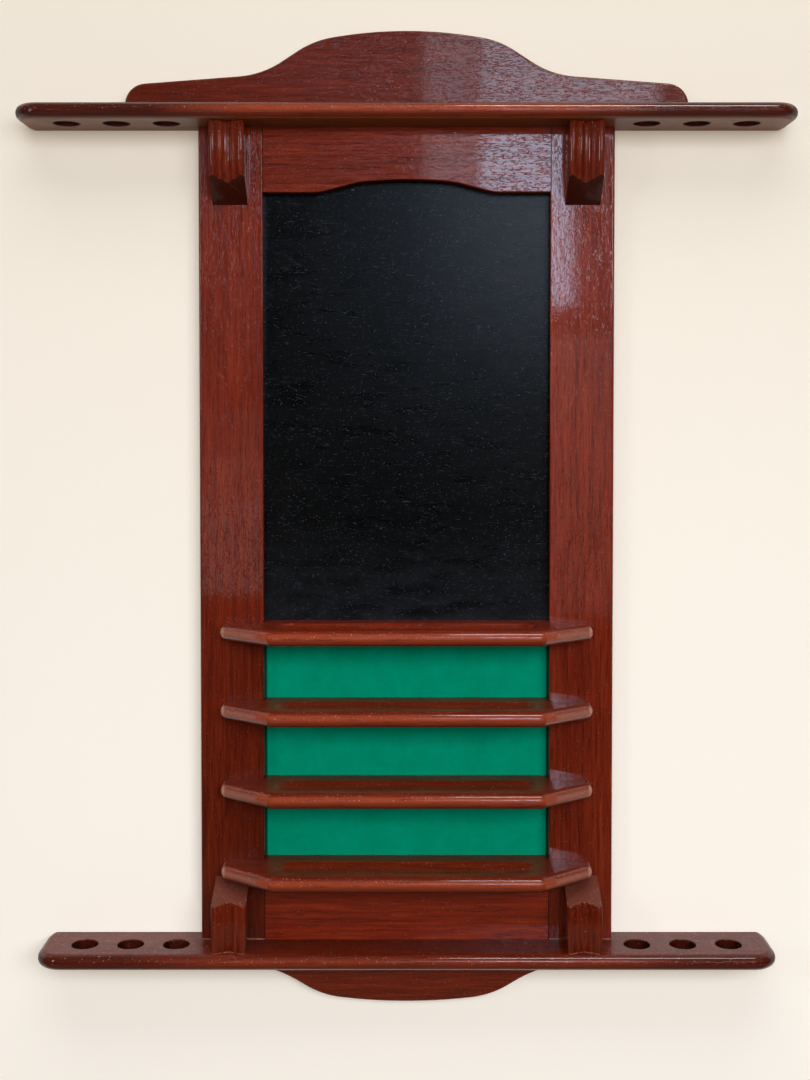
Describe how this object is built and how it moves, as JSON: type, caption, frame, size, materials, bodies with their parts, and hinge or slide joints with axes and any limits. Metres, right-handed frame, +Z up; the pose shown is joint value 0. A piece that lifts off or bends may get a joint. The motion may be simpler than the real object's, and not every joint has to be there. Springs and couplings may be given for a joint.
{
  "type": "billiard cue and ball rack",
  "caption": "Wall-hung wooden rack for billiard cues and balls, with a blackboard, grooved ball shelves on green baize, cue rails with holes and sockets, and fluted corbels.",
  "frame": {"origin": "on the wall plane, midway between the entry holes of the two keyhole hanger plates", "axes": "+X to the right as seen from the front, +Y into the wall, +Z up"},
  "size_m": [0.932, 0.099, 1.1941],
  "materials": {
    "mahogany_lacquer": "gloss lacquer on red stain",
    "blackboard_paint": "satin black paint",
    "plain_board": "bare plywood",
    "green_baize": "matt wool cloth",
    "zinc_steel": "bright zinc plate",
    "beech_dowel": "bare beech"
  },
  "bodies": {
    "root": {"left_stile": "mahogany_lacquer", "right_stile": "mahogany_lacquer", "head_rail": "mahogany_lacquer", "foot_rail": "mahogany_lacquer", "upper_cue_rail": "mahogany_lacquer", "lower_cue_rail": "mahogany_lacquer", "crest_board": "mahogany_lacquer", "apron_board": "mahogany_lacquer", "upper_left_corbel": "mahogany_lacquer", "upper_right_corbel": "mahogany_lacquer", "lower_left_corbel": "mahogany_lacquer", "lower_right_corbel": "mahogany_lacquer", "ball_shelf_1": "mahogany_lacquer", "ball_shelf_2": "mahogany_lacquer", "ball_shelf_3": "mahogany_lacquer", "ball_shelf_4": "mahogany_lacquer", "blackboard_panel": "blackboard_paint", "baize_board": "plain_board", "baize_cloth": "green_baize", "left_hanger_plate": "zinc_steel", "right_hanger_plate": "zinc_steel", "upper_rail_screws": "zinc_steel", "lower_rail_screws": "zinc_steel", "corbel_screws": "zinc_steel", "shelf_ear_screws": "zinc_steel", "shelf_back_screws": "zinc_steel", "panel_screws": "zinc_steel", "hanger_screws": "zinc_steel", "frame_dowels": "beech_dowel", "crest_dowels": "beech_dowel", "apron_dowels": "beech_dowel"}
  },
  "joints": []
}
